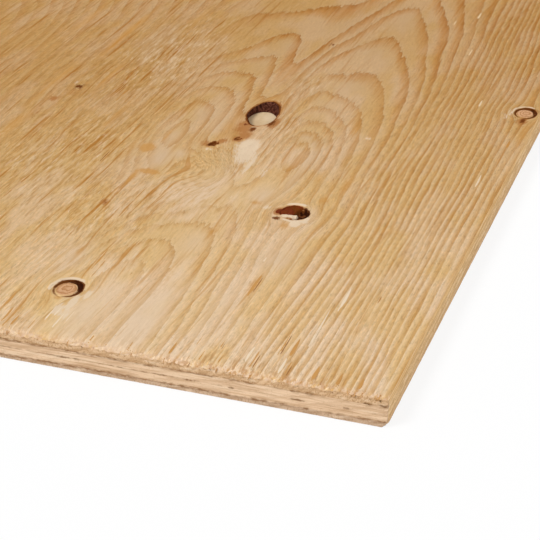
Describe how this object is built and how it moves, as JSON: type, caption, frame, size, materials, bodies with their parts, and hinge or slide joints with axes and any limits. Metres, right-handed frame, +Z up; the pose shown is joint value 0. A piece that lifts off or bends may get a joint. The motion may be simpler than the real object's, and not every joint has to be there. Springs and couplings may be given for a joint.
{
  "type": "plywood sheet",
  "caption": "Rectangular sheathing plywood sheet of cross-laid veneers, with a knotty rotary-cut face, an open knot hole and square sawn edges.",
  "frame": {"origin": "centre of the underside", "axes": "+Y along the sheet and its face grain, +X across it, +Z up out of the knotty face"},
  "size_m": [1.219, 2.438, 0.0119],
  "materials": {
    "face_veneer": "unsanded rotary-cut softwood, dry and matt",
    "core_veneer": "pale cross-grain softwood, sawn edge",
    "back_veneer": "plain unsanded softwood, dry and matt"
  },
  "bodies": {
    "root": {"face_veneer": "face_veneer", "upper_core_veneer": "core_veneer", "lower_core_veneer": "core_veneer", "back_veneer": "back_veneer"}
  },
  "joints": []
}
